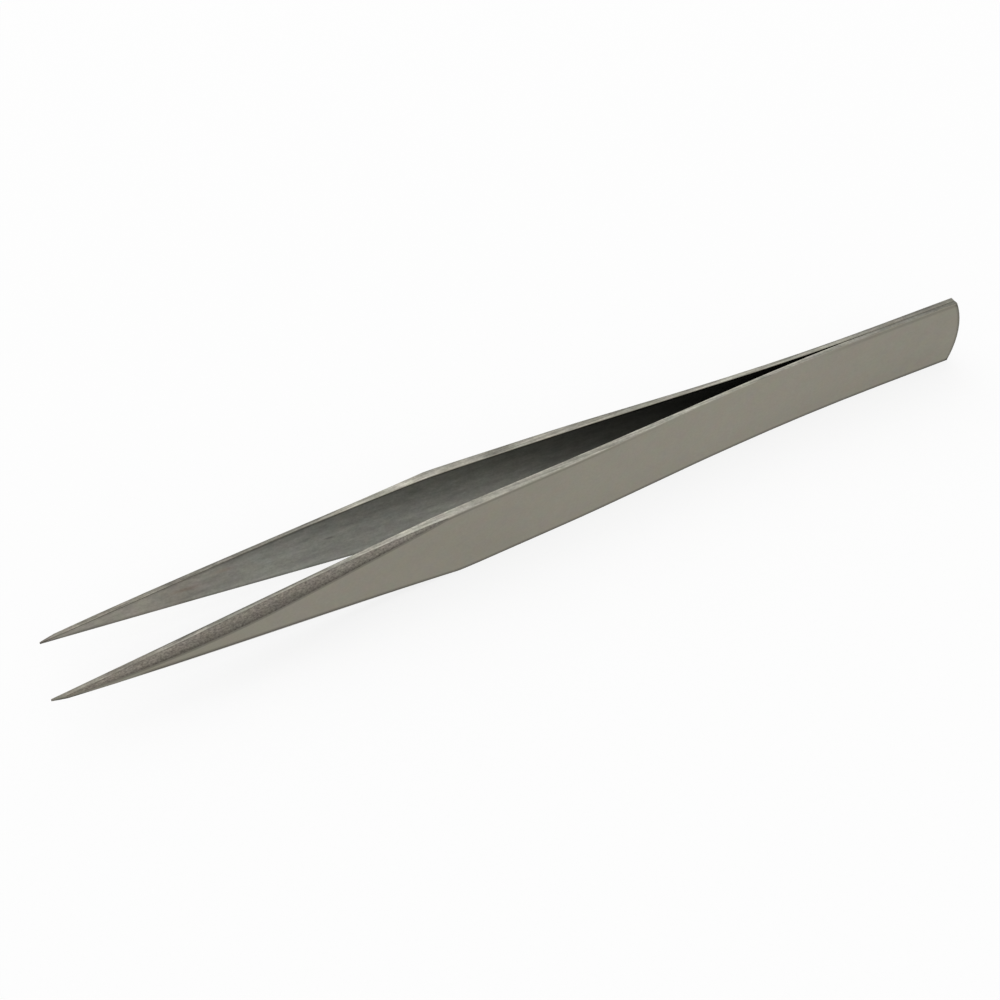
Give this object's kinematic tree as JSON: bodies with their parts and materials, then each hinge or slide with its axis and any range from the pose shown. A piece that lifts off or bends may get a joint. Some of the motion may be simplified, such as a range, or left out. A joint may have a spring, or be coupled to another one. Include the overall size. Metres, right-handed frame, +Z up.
{
  "type": "tweezers",
  "caption": "Fine-point steel tweezers: two mirror-image spring legs welded face to face at a rounded heel, tapered and bevelled to needle tips, lying on their edges.",
  "frame": {"origin": "on the table, under the middle of the length and midway between the legs", "axes": "+X from the tips to the heel, +Y across the gap from the left leg to the right leg, +Z up, along the width of the legs"},
  "size_m": [0.125, 0.0114, 0.0099],
  "materials": {
    "satin_steel": "satin"
  },
  "bodies": {
    "root": {"left_leg": "satin_steel", "right_leg": "satin_steel"}
  },
  "joints": []
}
